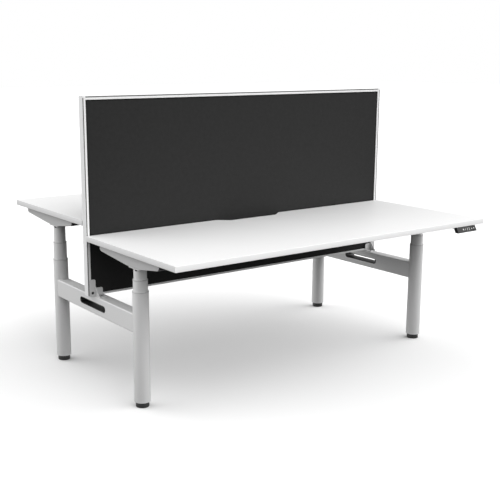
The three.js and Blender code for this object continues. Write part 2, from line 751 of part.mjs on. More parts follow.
const bench = new THREE.Group();
addEnd(bench, 'left', 0);
addEnd(bench, 'right', HALF_TURN);
bench.add(named('top_screen_rail', topRailGeometry(), BRIGHT_EXTRUSION));
bench.add(named('bottom_screen_rail', bottomRailGeometry(), BRIGHT_EXTRUSION));
bench.add(named('screen_panel', panelGeometry(), CHARCOAL_FABRIC));

[['front', -COLUMN_Y, FRONT_RAISED], ['rear', COLUMN_Y, REAR_RAISED]].forEach(([row, y, raised]) => {
  [['left', -COLUMN_X], ['right', COLUMN_X]].forEach(([end, x]) => {
    addColumnBase(bench, `${row}_${end}`, x, y, raised);
  });
});
addDesk(bench, 'front', FRONT_RAISED, ['front_left', 'front_right']);
addDesk(bench, 'rear', REAR_RAISED, ['rear_right', 'rear_left']);

export default bench;
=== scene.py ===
import json
import math

import bmesh
import bpy
import numpy as np
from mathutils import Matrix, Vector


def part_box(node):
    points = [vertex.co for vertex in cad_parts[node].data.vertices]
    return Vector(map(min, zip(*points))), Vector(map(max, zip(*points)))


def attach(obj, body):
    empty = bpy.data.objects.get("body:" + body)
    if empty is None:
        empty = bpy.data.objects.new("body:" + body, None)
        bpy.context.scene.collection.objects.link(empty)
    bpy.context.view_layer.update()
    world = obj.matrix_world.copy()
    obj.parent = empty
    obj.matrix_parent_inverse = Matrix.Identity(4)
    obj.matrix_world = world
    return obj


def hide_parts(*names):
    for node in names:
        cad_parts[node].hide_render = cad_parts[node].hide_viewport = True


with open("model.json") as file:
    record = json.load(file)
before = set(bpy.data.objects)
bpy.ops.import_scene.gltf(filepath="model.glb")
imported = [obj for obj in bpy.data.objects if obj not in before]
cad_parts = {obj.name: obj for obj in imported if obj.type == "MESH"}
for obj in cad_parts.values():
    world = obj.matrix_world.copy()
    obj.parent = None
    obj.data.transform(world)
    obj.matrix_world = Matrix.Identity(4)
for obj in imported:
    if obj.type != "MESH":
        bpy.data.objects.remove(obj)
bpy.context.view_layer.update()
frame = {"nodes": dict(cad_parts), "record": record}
scene = bpy.context.scene
nodes = frame["nodes"]
slot_of = {part["node"]: part["material_slot"] for part in frame["record"]["subparts"]}
body_of = {node: body for body, members in frame["record"]["behaviour"]["bodies"].items() for node in members}

MM = 0.001
# The ends' signs along X, and the sign that turns the front row's places into the rear row's
SIDE_OF = {"left": -1, "right": 1}
TURN_OF = {"front": 1, "rear": -1}
ENDS, ROWS = tuple(SIDE_OF), tuple(TURN_OF)
COLUMNS = tuple(f"{row}_{end}" for row in ROWS for end in ENDS)


# Places read from the frame

def span(node):
    """A node's lowest and highest corners as arrays."""
    low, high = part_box(node)
    return np.array(low), np.array(high)


def underside(row):
    """Height of a desktop's lower face."""
    return span(f"{row}_desktop")[0][2]


# The front desktop's corners; the rear one is the same board turned half round
DESK_LOW, DESK_HIGH = span("front_desktop")
# The lips of the screen's bottom rail end this far below the top of its solid
LIP_TRIM = 4 * MM


# Camera and studio

def photo_camera():
    """Camera at the photograph's angle: 35.4 degrees round from the front, 12.1 degrees above."""
    data = bpy.data.cameras.new("photo_camera")
    data.sensor_width = 36.0
    data.lens = 64.116
    data.shift_x = 0.0618
    camera = bpy.data.objects.new("photo_camera", data)
    camera.location = (-2.6669, -3.5169, 1.4619)
    camera.rotation_euler = (math.radians(77.903), 0.0, math.radians(-35.442))
    scene.collection.objects.link(camera)
    scene.camera = camera


# Soft boxes all round: azimuth from the front towards the right, elevation, brightness
SOFT_BOXES = (
    (0, 12, 0.08), (85, 24, 0.50), (135, 12, 0.08), (225, 12, 0.33), (270, 12, 0.20),
    (0, 36, 0.50), (55, 33, 0.50), (180, 36, 0.24), (225, 36, 0.31), (270, 36, 0.09),
    (0, 62, 0.08), (0, 90, 0.12), (0, -35, 0.01), (270, -35, 0.02),
)
BOX_SHARPNESS = 10.7
BOX_GAIN = 5.64


def soft_boxes(tree):
    """Brightness over directions d: the sum over boxes b of gain * brightness * exp(sharpness * (d . b - 1))."""
    place = tree.nodes.new("ShaderNodeTexCoord")
    total = 0.0
    for azimuth, elevation, brightness in SOFT_BOXES:
        around, above = math.radians(azimuth), math.radians(elevation)
        toward = tree.nodes.new("ShaderNodeVectorMath")
        toward.operation = "DOT_PRODUCT"
        tree.links.new(place.outputs["Generated"], toward.inputs[0])
        toward.inputs[1].default_value = (
            math.sin(around) * math.cos(above), -math.cos(around) * math.cos(above), math.sin(above))
        fall = math_node(tree, "MULTIPLY", math_node(tree, "SUBTRACT", toward.outputs["Value"], 1.0), BOX_SHARPNESS)
        lobe = math_node(tree, "MULTIPLY", math_node(tree, "EXPONENT", fall), BOX_GAIN * brightness)
        total = math_node(tree, "ADD", lobe, total)
    return total


def studio():
    """White backdrop, soft boxes all round, and a pale floor that shows shade but throws no light back up."""
    scene.view_settings.view_transform = "Standard"
    world = bpy.data.worlds.new("studio")
    scene.world = world
    world.use_nodes = True
    tree = world.node_tree
    rays = tree.nodes.new("ShaderNodeLightPath")
    shown = tree.nodes.new("ShaderNodeMix")
    tree.links.new(rays.outputs["Is Camera Ray"], shown.inputs["Factor"])
    tree.links.new(soft_boxes(tree), shown.inputs["A"])
    shown.inputs["B"].default_value = 1.0
    surround = tree.nodes["Background"]
    surround.inputs["Color"].default_value = (1.0, 1.0, 1.0, 1.0)
    tree.links.new(shown.outputs["Result"], surround.inputs["Strength"])

    reach = 40.0
    corners = np.array([(-1, -1, 0), (1, -1, 0), (1, 1, 0), (-1, 1, 0)]) * reach
    mesh = bpy.data.meshes.new("floor")
    mesh.from_pydata(corners.tolist(), [], [(0, 1, 2, 3)])
    floor = bpy.data.objects.new("floor", mesh)
    floor.visible_diffuse = False
    floor.visible_glossy = False
    floor.visible_shadow = False
    scene.collection.objects.link(floor)
    paint = bpy.data.materials.new("floor_paint")
    paint.use_nodes = True
    shader = paint.node_tree.nodes["Principled BSDF"]
    shader.inputs["Base Color"].default_value = (0.89, 0.89, 0.89, 1.0)
    shader.inputs["Roughness"].default_value = 0.9
    shader.inputs["Specular IOR Level"].default_value = 0.0
    mesh.materials.append(paint)


# Shared finishes, as node groups

def node_group(name, inputs, outputs):
    """An empty shader group with the given sockets, its input node and its output node."""
    tree = bpy.data.node_groups.new(name, "ShaderNodeTree")
    for label, kind, value in inputs:
        socket = tree.interface.new_socket(label, in_out="INPUT", socket_type=kind)
        socket.default_value = value
    for label, kind in outputs:
        tree.interface.new_socket(label, in_out="OUTPUT", socket_type=kind)
    return tree, tree.nodes.new("NodeGroupInput"), tree.nodes.new("NodeGroupOutput")


def math_node(tree, operation, *values):
    """A Math node whose inputs are sockets or numbers."""
    node = tree.nodes.new("ShaderNodeMath")
    node.operation = operation
    for socket, value in zip(node.inputs, values):
        if isinstance(value, bpy.types.NodeSocket):
            tree.links.new(value, socket)
        else:
            socket.default_value = value
    return node.outputs["Value"]


def noise(tree, vector, scale, detail):
    """Fractal noise over a vector socket; scale is a number or a socket."""
    node = tree.nodes.new("ShaderNodeTexNoise")
    node.inputs["Detail"].default_value = detail
    tree.links.new(vector, node.inputs["Vector"])
    if isinstance(scale, bpy.types.NodeSocket):
        tree.links.new(scale, node.inputs["Scale"])
    else:
        node.inputs["Scale"].default_value = scale
    return node.outputs["Fac"]


def two_tone(tree, factor, start, end):
    """Colour and roughness that run from the group's first tone to its second by the factor."""
    mix = tree.nodes.new("ShaderNodeMix")
    mix.data_type = "RGBA"
    tree.links.new(factor, mix.inputs["Factor"])
    tree.links.new(start.outputs["Dark"], mix.inputs["A"])
    tree.links.new(start.outputs["Light"], mix.inputs["B"])
    tree.links.new(mix.outputs["Result"], end.inputs["Color"])
    rough = tree.nodes.new("ShaderNodeMapRange")
    tree.links.new(factor, rough.inputs["Value"])
    tree.links.new(start.outputs["Rough Dark"], rough.inputs["To Min"])
    tree.links.new(start.outputs["Rough Light"], rough.inputs["To Max"])
    tree.links.new(rough.outputs["Result"], end.inputs["Roughness"])


# Sockets that every finish group shares
TONES = [("Dark", "NodeSocketColor", (0.4, 0.4, 0.4, 1)), ("Light", "NodeSocketColor", (0.6, 0.6, 0.6, 1)),
         ("Rough Dark", "NodeSocketFloat", 0.4), ("Rough Light", "NodeSocketFloat", 0.5)]
RESULTS = [("Color", "NodeSocketColor"), ("Roughness", "NodeSocketFloat"), ("Height", "NodeSocketFloat")]


def coat_grain_group():
    """Fine grain over a slow drift of tone: factor = 0.65 fine noise + 0.35 slow noise."""
    tree, start, end = node_group(
        "coat_grain", [("Vector", "NodeSocketVector", (0, 0, 0)), ("Grain", "NodeSocketFloat", 900.0), *TONES], RESULTS)
    fine = noise(tree, start.outputs["Vector"], start.outputs["Grain"], 3.0)
    slow = noise(tree, start.outputs["Vector"], 5.0, 2.0)
    factor = math_node(tree, "ADD", math_node(tree, "MULTIPLY", fine, 0.65), math_node(tree, "MULTIPLY", slow, 0.35))
    two_tone(tree, factor, start, end)
    tree.links.new(fine, end.inputs["Height"])
    return tree


def drawn_metal_group():
    """Hairlines along one axis: noise on coordinates that the material has stretched."""
    tree, start, end = node_group("drawn_metal", [("Vector", "NodeSocketVector", (0, 0, 0)), *TONES], RESULTS)
    lines = noise(tree, start.outputs["Vector"], 1.0, 4.0)
    two_tone(tree, lines, start, end)
    tree.links.new(lines, end.inputs["Height"])
    return tree


def weave_group():
    """Plain weave: height = half of (1 + sin x * sin z) / 2 + half yarn noise; tone = 0.6 height + 0.4 mottle."""
    tree, start, end = node_group(
        "weave", [("Vector", "NodeSocketVector", (0, 0, 0)), ("Threads", "NodeSocketFloat", 2600.0), *TONES], RESULTS)
    split = tree.nodes.new("ShaderNodeSeparateXYZ")
    tree.links.new(start.outputs["Vector"], split.inputs["Vector"])
    across = math_node(tree, "SINE", math_node(tree, "MULTIPLY", split.outputs["X"], start.outputs["Threads"]))
    along = math_node(tree, "SINE", math_node(tree, "MULTIPLY", split.outputs["Z"], start.outputs["Threads"]))
    cross = math_node(tree, "MULTIPLY_ADD", math_node(tree, "MULTIPLY", across, along), 0.5, 0.5)
    yarn = noise(tree, start.outputs["Vector"], 700.0, 3.0)
    mottle = noise(tree, start.outputs["Vector"], 60.0, 3.0)
    height = math_node(tree, "ADD", math_node(tree, "MULTIPLY", cross, 0.5), math_node(tree, "MULTIPLY", yarn, 0.5))
    factor = math_node(tree, "ADD", math_node(tree, "MULTIPLY", height, 0.6), math_node(tree, "MULTIPLY", mottle, 0.4))
    two_tone(tree, factor, start, end)
    tree.links.new(height, end.inputs["Height"])
    return tree


def band_painted_light_group(half_depth):
    """Mask of the boards' long sides, with their edge band and painted light: 1 where |y| comes within a millimetre of
    the boards' outer sides, else 0.
    """
    tree, start, end = node_group(
        "band_painted_light", [("Vector", "NodeSocketVector", (0, 0, 0))], [("Mask", "NodeSocketFloat")])
    split = tree.nodes.new("ShaderNodeSeparateXYZ")
    tree.links.new(start.outputs["Vector"], split.inputs["Vector"])
    outer = math_node(tree, "GREATER_THAN", math_node(tree, "ABSOLUTE", split.outputs["Y"]), half_depth - 1 * MM)
    tree.links.new(outer, end.inputs["Mask"])
    return tree


def band_with_light(material, group, tone):
    """Gives the group's masked edges their own tone over the material's colour; on the boards, a lighter tone of
    painted light over the edge band.
    """
    tree = material.node_tree
    colour = tree.nodes["Principled BSDF"].inputs["Base Color"]
    face = colour.links[0].from_socket
    place = tree.nodes.new("ShaderNodeTexCoord")
    edge = tree.nodes.new("ShaderNodeGroup")
    edge.node_tree = group
    tree.links.new(place.outputs["Object"], edge.inputs["Vector"])
    mix = tree.nodes.new("ShaderNodeMix")
    mix.data_type = "RGBA"
    tree.links.new(edge.outputs["Mask"], mix.inputs["Factor"])
    tree.links.new(face, mix.inputs["A"])
    mix.inputs["B"].default_value = (*tone, 1.0)
    tree.links.new(mix.outputs["Result"], colour)


def finish_from(name, group, tones, stretch=(1, 1, 1), bump=(0.1, 0.1 * MM), metallic=0.0, extra=(), **values):
    """A material whose colour, roughness and relief come from a group read on object coordinates."""
    material = bpy.data.materials.new(f"{name}_finish")
    material.use_nodes = True
    tree = material.node_tree
    shader = tree.nodes["Principled BSDF"]
    place = tree.nodes.new("ShaderNodeTexCoord")
    mapping = tree.nodes.new("ShaderNodeMapping")
    mapping.inputs["Scale"].default_value = stretch
    tree.links.new(place.outputs["Object"], mapping.inputs["Vector"])
    effect = tree.nodes.new("ShaderNodeGroup")
    effect.node_tree = group
    tree.links.new(mapping.outputs["Vector"], effect.inputs["Vector"])
    dark, light, rough_dark, rough_light = tones
    effect.inputs["Dark"].default_value = (*dark, 1.0)
    effect.inputs["Light"].default_value = (*light, 1.0)
    effect.inputs["Rough Dark"].default_value = rough_dark
    effect.inputs["Rough Light"].default_value = rough_light
    for label, value in values.items():
        effect.inputs[label].default_value = value
    relief = tree.nodes.new("ShaderNodeBump")
    relief.inputs["Strength"].default_value = bump[0]
    relief.inputs["Distance"].default_value = bump[1]
    tree.links.new(effect.outputs["Height"], relief.inputs["Height"])
    tree.links.new(effect.outputs["Color"], shader.inputs["Base Color"])
    tree.links.new(effect.outputs["Roughness"], shader.inputs["Roughness"])
    tree.links.new(relief.outputs["Normal"], shader.inputs["Normal"])
    shader.inputs["Metallic"].default_value = metallic
    for label, value in extra:
        shader.inputs[label].default_value = value
    return material


def grey(level, tint=0.0):
    """A neutral colour; a positive tint cools it."""
    return (level * (1 - tint), level, level * (1 + tint))


COAT = coat_grain_group()
DRAWN = drawn_metal_group()
WEAVE = weave_group()

FINISHES = {
    "white_board": finish_from(
        "white_board", COAT, (grey(0.745), grey(0.785), 0.42, 0.5), bump=(0.08, 0.05 * MM), Grain=1400.0),
    "silver_paint": finish_from(
        "silver_paint", COAT, (grey(0.66), grey(0.74), 0.4, 0.52), bump=(0.15, 0.05 * MM), Grain=2200.0),
    # Arms: the silver paint made darker, painted shade for the desktop's overhang above them
    "arm_painted_shade": finish_from(
        "arm_painted_shade", COAT, (grey(0.49), grey(0.55), 0.4, 0.52), bump=(0.15, 0.05 * MM), Grain=2200.0),
    "grey_plastic": finish_from(
        "grey_plastic", COAT, (grey(0.54), grey(0.62), 0.5, 0.6), bump=(0.1, 0.05 * MM), Grain=1800.0),
    "black_plastic": finish_from(
        "black_plastic", COAT, (grey(0.008), grey(0.016), 0.42, 0.58), bump=(0.2, 0.08 * MM), Grain=1500.0),
    "foot_plastic": finish_from(
        "foot_plastic", COAT, (grey(0.035), grey(0.055), 0.4, 0.55), bump=(0.2, 0.08 * MM), Grain=1500.0),
    "handset_plastic": finish_from(
        "handset_plastic", COAT, (grey(0.025), grey(0.033), 0.35, 0.45), bump=(0.15, 0.05 * MM),
        extra=(("Specular IOR Level", 0.14),), Grain=2500.0),
    "motor_case": finish_from(
        "motor_case", COAT, (grey(0.014), grey(0.024), 0.4, 0.5), bump=(0.1, 0.05 * MM), metallic=0.5, Grain=1200.0),
    "bare_steel": finish_from(
        "bare_steel", DRAWN, (grey(0.30, 0.02), grey(0.42, 0.02), 0.25, 0.4), stretch=(60, 60, 1200),
        bump=(0.4, 0.2 * MM), metallic=1.0),
    "post_metal": finish_from(
        "post_metal", DRAWN, (grey(0.82), grey(0.90), 0.34, 0.44), stretch=(1600, 1600, 6), bump=(0.06, 0.03 * MM)),
    "rail_metal": finish_from(
        "rail_metal", DRAWN, (grey(0.82), grey(0.90), 0.34, 0.44), stretch=(6, 1600, 1600), bump=(0.06, 0.03 * MM)),
    "gasket": finish_from(
        "gasket", COAT, (grey(0.11), grey(0.15), 0.6, 0.7), bump=(0.1, 0.05 * MM), Grain=1500.0),
    "charcoal_fabric": finish_from(
        "charcoal_fabric", WEAVE, (grey(0.0085), grey(0.0285), 0.85, 0.97), bump=(0.5, 0.4 * MM),
        extra=(("Sheen Weight", 0.1), ("Sheen Roughness", 0.5), ("Specular IOR Level", 0.2)), Threads=2600.0),
    "white_print": finish_from(
        "white_print", COAT, (grey(0.5), grey(0.56), 0.4, 0.5), bump=(0.05, 0.02 * MM), Grain=3000.0),
}

# The boards' long outer edges carry an edge band, painted a brighter white as painted light where light falls on the
# front edge
band_with_light(FINISHES["white_board"], band_painted_light_group(-DESK_LOW[1]), grey(0.94))


def finish_for(node):
    """The finish of a node's slot, apart from black housings, arms in a darker copy of the silver paint as painted
    shade, and a screen frame drawn lengthwise.
    """
    slot = slot_of[node]
    if node.endswith("_handset"):
        return FINISHES["black_plastic"]
    if node.endswith("_arm"):
        # Arms take the darker silver paint, painted shade from the desktop above
        return FINISHES["arm_painted_shade"]
    if slot == "bright_extrusion":
        return FINISHES["post_metal" if node.endswith("post") else "rail_metal"]
    return FINISHES[slot]


# Surfaces on grids

def grid_faces(rows, columns, wrap_rows=False, wrap_columns=False):
    """Quads between neighbouring points of a rows by columns grid, closed round where asked."""
    row, column = np.meshgrid(np.arange(rows - (not wrap_rows)), np.arange(columns - (not wrap_columns)), indexing="ij")
    below, beside = (row + 1) % rows, (column + 1) % columns
    corners = (row * columns + column, below * columns + column, below * columns + beside, row * columns + beside)
    return np.stack(corners, -1).reshape(-1, 4)


def eased(corners, ease, steps=3):
    """Each corner of a closed outline becomes a quadratic curve between points set back along its two sides."""
    point = np.asarray(corners, float)
    before, after = np.roll(point, 1, 0) - point, np.roll(point, -1, 0) - point
    back = np.linalg.norm(before, axis=1, keepdims=True)
    ahead = np.linalg.norm(after, axis=1, keepdims=True)
    start = (point + before / back * np.minimum(ease, 0.4 * back))[:, None]
    end = (point + after / ahead * np.minimum(ease, 0.4 * ahead))[:, None]
    t = np.linspace(0, 1, steps + 1)[None, :, None]
    return ((1 - t) ** 2 * start + 2 * t * (1 - t) * point[:, None] + t ** 2 * end).reshape(-1, point.shape[1])


def turned(profile, centre, sides=96, closed=True):
    """Surface (r cos a, r sin a, z): the profile's (r, z) points carried round a vertical axis."""
    outline = np.asarray(profile, float)
    angle = np.linspace(0, 2 * np.pi, sides, endpoint=False)
    radius, height = outline[:, :1], outline[:, 1:]
    points = np.stack([centre[0] + radius * np.cos(angle), centre[1] + radius * np.sin(angle),
                       height + 0 * angle], -1)
    return points.reshape(-1, 3), grid_faces(len(outline), sides, wrap_rows=closed, wrap_columns=True).tolist()


def slab(outline, levels):
    """Surface (outline moved in by d(level), z(level)): an outline carried up its edge profile, capped at both ends."""
    flat = np.asarray(outline, float)
    before, after = flat - np.roll(flat, 1, 0), np.roll(flat, -1, 0) - flat
    normal = [np.stack([-side[:, 1], side[:, 0]], -1) / np.linalg.norm(side, axis=1, keepdims=True)
              for side in (before, after)]
    inward = (normal[0] + normal[1]) / (1 + np.sum(normal[0] * normal[1], axis=1, keepdims=True))
    inset, height = np.asarray(levels, float).T
    ring = flat[None] + inset[:, None, None] * inward[None]
    points = np.concatenate([ring, np.broadcast_to(height[:, None, None], (*ring.shape[:2], 1))], -1)
    count, last = len(flat), (len(inset) - 1) * len(flat)
    faces = grid_faces(len(inset), count, wrap_columns=True).tolist()
    faces += [list(range(count))[::-1], list(range(last, last + count))]
    return points.reshape(-1, 3), faces


def edge_profile(low, high, ease, steps=4):
    """(inset, height) levels of an edge with a quarter-round of radius ease at top and bottom."""
    turn = np.linspace(0, np.pi / 2, steps + 1)
    inset, rise = ease * (1 - np.sin(turn)), ease * (1 - np.cos(turn))
    bottom = np.stack([inset, low + rise], -1)
    return np.concatenate([bottom, np.stack([inset[::-1], high - rise[::-1]], -1)])


def joined(*surfaces):
    """Several (points, faces) surfaces as one."""
    points, faces, start = [], [], 0
    for some, quads in surfaces:
        points.append(some)
        faces += [[corner + start for corner in quad] for quad in quads]
        start += len(some)
    return np.concatenate(points), faces


def piece(name, surface, material, body, replaced=(), sharp=35.0):
    """A mesh object from (points, faces), with doubles merged, faces turned outwards and soft shading up to sharp."""
    points, faces = surface
    mesh = bpy.data.meshes.new(name)
    mesh.from_pydata(np.asarray(points, float).tolist(), [], faces)
    work = bmesh.new()
    work.from_mesh(mesh)
    bmesh.ops.remove_doubles(work, verts=work.verts, dist=1e-6)
    bmesh.ops.recalc_face_normals(work, faces=work.faces)
    work.to_mesh(mesh)
    work.free()
    mesh.polygons.foreach_set("use_smooth", np.ones(len(mesh.polygons), bool))
    mesh.set_sharp_from_angle(angle=math.radians(sharp))
    mesh.materials.append(material)
    made = bpy.data.objects.new(name, mesh)
    scene.collection.objects.link(made)
    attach(made, body)
    if replaced:
        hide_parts(*replaced)
    return made


def stands_for(node, surface, sharp=35.0):
    """A piece that takes a node's place, on its body and in its finish."""
    return piece(f"{node}_skin", surface, finish_for(node), body_of[node], (node,), sharp)


def softened(node, ease, segments=2, trim=0.0):
    """The node's own faces, its top brought down by trim, flat triangles merged and folds rounded by a bevel."""
    source = nodes[node].data
    place = np.empty(len(source.vertices) * 3, np.float32)
    source.vertices.foreach_get("co", place)
    place = place.reshape(-1, 3)
    place[:, 2] -= trim * (place[:, 2] > place[:, 2].max() - 0.1 * MM)
    corner = np.empty(len(source.loops), np.int32)
    source.loops.foreach_get("vertex_index", corner)
    _, first, same = np.unique(np.round(place * 1e6).astype(np.int64), axis=0, return_index=True, return_inverse=True)
    triangles = same.reshape(-1)[corner].reshape(-1, 3)
    made = stands_for(node, (place[first], triangles.tolist()))
    flat = made.modifiers.new("flat", "DECIMATE")
    flat.decimate_type = "DISSOLVE"
    flat.angle_limit = math.radians(0.5)
    edge = made.modifiers.new("edge", "BEVEL")
    edge.width = ease
    edge.segments = segments
    edge.limit_method = "ANGLE"
    edge.angle_limit = math.radians(35)
    edge.use_clamp_overlap = True
    shade = made.modifiers.new("shade", "WEIGHTED_NORMAL")
    shade.keep_sharp = True


# Columns

TUBE_WALL = 2.5 * MM
INNER_RADIUS = 28 * MM
HEAD_PLATE = 6 * MM


def tube_profile(radius, wall, low, high, floor=0.0, bore=0.0):
    """(r, z) outline of a tube; with a floor, the floor plate has a bore in its middle."""
    inner = radius - wall
    if not floor:
        return [(radius, low), (radius, high), (inner, high), (inner, low)]
    return [(bore, low), (radius, low), (radius, high), (inner, high), (inner, low + floor), (bore, low + floor)]


def rounded_rectangle(low, high, radius, steps=5):
    """Plan outline of a rectangle whose corners are quarter circles, anticlockwise."""
    turn = np.linspace(0, np.pi / 2, steps + 1)
    starts = np.arange(4) * np.pi / 2
    angle = (starts[:, None] + turn[None]).reshape(-1)
    centres = np.array([(high[0] - radius, high[1] - radius), (low[0] + radius, high[1] - radius),
                        (low[0] + radius, low[1] + radius), (high[0] - radius, low[1] + radius)])
    return np.repeat(centres, steps + 1, axis=0) + radius * np.stack([np.cos(angle), np.sin(angle)], -1)


def dress_tubes(name, centre):
    """Outer tube on its floor, middle tube round the nut tube, and inner tube up to the middle of its head plate."""
    low, high = span(f"{name}_outer_tube")
    outline = tube_profile((high - low)[0] / 2, TUBE_WALL, low[2], high[2], floor=12 * MM, bore=5.6 * MM)
    stands_for(f"{name}_outer_tube", turned(eased(outline, 0.6 * MM), centre))

    low, high = span(f"{name}_middle_tube")
    bore, radius, top = 7.6 * MM, 11.6 * MM, low[2] + 360 * MM
    outline = tube_profile((high - low)[0] / 2, TUBE_WALL, low[2], high[2], floor=10 * MM, bore=radius)
    nut_tube = [(bore, low[2]), (radius, low[2]), (radius, top), (bore, top)]
    stands_for(f"{name}_middle_tube", joined(turned(eased(outline, 0.4 * MM), centre),
                                             turned(eased(nut_tube, 0.4 * MM), centre, 32)))

    low, high = span(f"{name}_inner_tube")
    outline = tube_profile(INNER_RADIUS, TUBE_WALL, low[2], high[2] - HEAD_PLATE / 2)
    plate = rounded_rectangle(low, high, 10 * MM)
    stands_for(f"{name}_inner_tube", joined(
        turned(eased(outline, 0.4 * MM), centre),
        slab(plate, edge_profile(high[2] - HEAD_PLATE, high[2], 0.8 * MM))))


def dress_collars(name, centre):
    """A guide collar on the outer and on the middle tube's rim, with its upper outer corner cut off."""
    cut = 1 * MM
    for stage, bore in (("outer", 31.8 * MM), ("middle", 28.3 * MM)):
        low, high = span(f"{name}_{stage}_collar")
        radius = (high - low)[0] / 2
        outline = [(bore, low[2]), (radius, low[2]), (radius, high[2] - cut), (radius - cut, high[2]), (bore, high[2])]
        stands_for(f"{name}_{stage}_collar", turned(eased(outline, 0.35 * MM), centre))


def dress_spindle(name, centre):
    """A rod with a chamfered lower end that stops just short of the motor, so that it turns freely."""
    radius, chamfer, play = 7 * MM, 2 * MM, 0.3 * MM
    low, high = span(f"{name}_spindle")
    top = min(high[2], span(f"{name}_motor")[0][2] - play)
    outline = [(0.0, low[2]), (radius - chamfer, low[2]), (radius, low[2] + chamfer), (radius, top), (0.0, top)]
    stands_for(f"{name}_spindle", turned(outline, centre, 48, closed=False))


def dress_foot(name, centre):
    """A round pad with a rounded sole and a groove below its rim, and the stud that it turns on."""
    low, high = span(f"{name}_foot")
    radius, top, stud = (high - low)[0] / 2, 23.7 * MM, 5.3 * MM
    groove = radius - 0.8 * MM
    outline = [(0.0, 0.0), (radius - 3 * MM, 0.0), (radius - 0.9 * MM, 0.9 * MM), (radius, 3 * MM),
               (radius, top - 9 * MM), (groove, top - 8.4 * MM), (groove, top - 7.6 * MM), (radius, top - 7 * MM),
               (radius, top - 3 * MM), (radius - 0.8 * MM, top - 0.8 * MM), (radius - 2.5 * MM, top),
               (stud, top), (stud, high[2]), (0.0, high[2])]
    stands_for(f"{name}_foot", turned(outline, centre, closed=False), sharp=40)


def dress_column(name):
    """Tubes, collars, spindle and foot, each turned on the column's axis."""
    low, high = span(f"{name}_outer_tube")
    centre = (low + high)[:2] / 2
    dress_tubes(name, centre)
    dress_collars(name, centre)
    dress_spindle(name, centre)
    dress_foot(name, centre)


# Desktops

def cubic(start, first, second, end, steps=16):
    """Points of a cubic curve, without its last one."""
    t = np.linspace(0, 1, steps, endpoint=False)[:, None]
    ends = [np.asarray(point, float)[None] for point in (start, first, second, end)]
    weights = ((1 - t) ** 3, 3 * t * (1 - t) ** 2, 3 * t ** 2 * (1 - t), t ** 3)
    return sum(weight * point for weight, point in zip(weights, ends))


def dress_desktop(row):
    """The board's outline with its S-curved cable notch, carried up an edge with rounded arrises."""
    low, high = span(f"{row}_desktop")
    end, front, back = DESK_HIGH[0], DESK_LOW[1], DESK_HIGH[1]
    # Half-widths of the notch at its mouth and floor, the floor's place, and the reach of the curves' handles
    mouth, floor, deep, ease = 201 * MM, 133 * MM, back - 46 * MM, 14 * MM
    outline = np.concatenate([
        [(-end, front), (end, front), (end, back)],
        cubic((mouth, back), (mouth - ease, back), (floor + ease, deep), (floor, deep)),
        cubic((floor, deep), (floor / 3, deep), (-floor / 3, deep), (-floor, deep), 4),
        cubic((-floor, deep), (-floor - ease, deep), (-mouth + ease, back), (-mouth, back)),
        [(-mouth, back), (-end, back)],
    ])
    stands_for(f"{row}_desktop", slab(outline * TURN_OF[row], edge_profile(low[2], high[2], 1.2 * MM)))


# Screen panel

def panel_lines(edge_low, open_low, open_high, edge_high, count):
    """Grid lines across the pad: close together along the roll on each side of the opening, even in between."""
    roll = np.array([0, 1.5, 3, 4.5, 6, 8, 10, 13, 17]) * MM
    clear = 32.5 * MM
    middle = np.linspace(open_low + clear, open_high - clear, count)
    return np.concatenate([[edge_low], open_low + roll, middle, (open_high - roll)[::-1], [edge_high]])


def dress_panel():
    """Fabric pad: half-thickness 13 mm, drawn in by 2.4 mm along a smooth roll where it tucks behind the frame."""
    low, high = span("screen_panel")
    rail_low, rail_high = span("top_screen_rail")
    left, right, top = rail_low[0], rail_high[0], rail_low[2]
    bottom = span("bottom_screen_rail")[1][2] - LIP_TRIM
    full, drawn_in, roll_width = 13 * MM, 2.4 * MM, 11 * MM
    x, z = np.meshgrid(panel_lines(low[0], left, right, high[0], 60),
                       panel_lines(low[2], bottom, top, high[2], 30), indexing="ij")
    inside = np.minimum.reduce([x - left, right - x, z - bottom, top - z])
    t = np.clip(inside / roll_width, 0, 1)
    half = full - drawn_in * (1 - t * t * (3 - 2 * t))
    front = np.stack([x, -half, z], -1).reshape(-1, 3)
    back = np.stack([x, half, z], -1).reshape(-1, 3)
    count, rows, columns = x.size, *x.shape
    face = grid_faces(rows, columns)
    index = np.arange(count).reshape(rows, columns)
    rim = np.concatenate([index[:, 0], index[-1, 1:], index[-2::-1, -1], index[0, -2:0:-1]])
    side = np.stack([rim, np.roll(rim, -1), np.roll(rim, -1) + count, rim + count], -1)
    faces = np.concatenate([face, face[:, ::-1] + count, side]).tolist()
    stands_for("screen_panel", (np.concatenate([front, back]), faces), sharp=60)


# Handset: a leaning face that hangs from the desktop's lower front edge; places along it count from its middle

FACE_MIDDLE = 764 * MM
FACE_ENDS = np.array([-60, 74]) * MM
FACE_HALF = 14.3 * MM
FACE_LEAN = math.radians(29)
KEY_SIDES = np.array([35.2, 49.0, 51.0, 64.8]) * MM
KEY_HALF = 8.6 * MM


def ribbon(path, width, thick):
    """Flat bar along a path: the path moved half a width to each side, raised by its thickness."""
    line = np.asarray(path, float)
    along = np.gradient(line, axis=0)
    side = np.stack([-along[:, 1], along[:, 0]], -1)
    side *= width / 2 / np.linalg.norm(side, axis=1, keepdims=True)
    edge = np.concatenate([line + side, (line - side)[::-1]])
    return slab(edge[::-1], [(0, 0), (0, thick)])


def arc(centre, radius, start, end, steps=12):
    """Points of a circular arc, angles in degrees."""
    angle = np.radians(np.linspace(start, end, steps))
    return np.asarray(centre) + radius * np.stack([np.cos(angle), np.sin(angle)], -1)


def circle(centre, radius, steps):
    """Points of a full circle, evenly spaced."""
    return arc(centre, radius, 0, 360 - 360 / steps, steps)


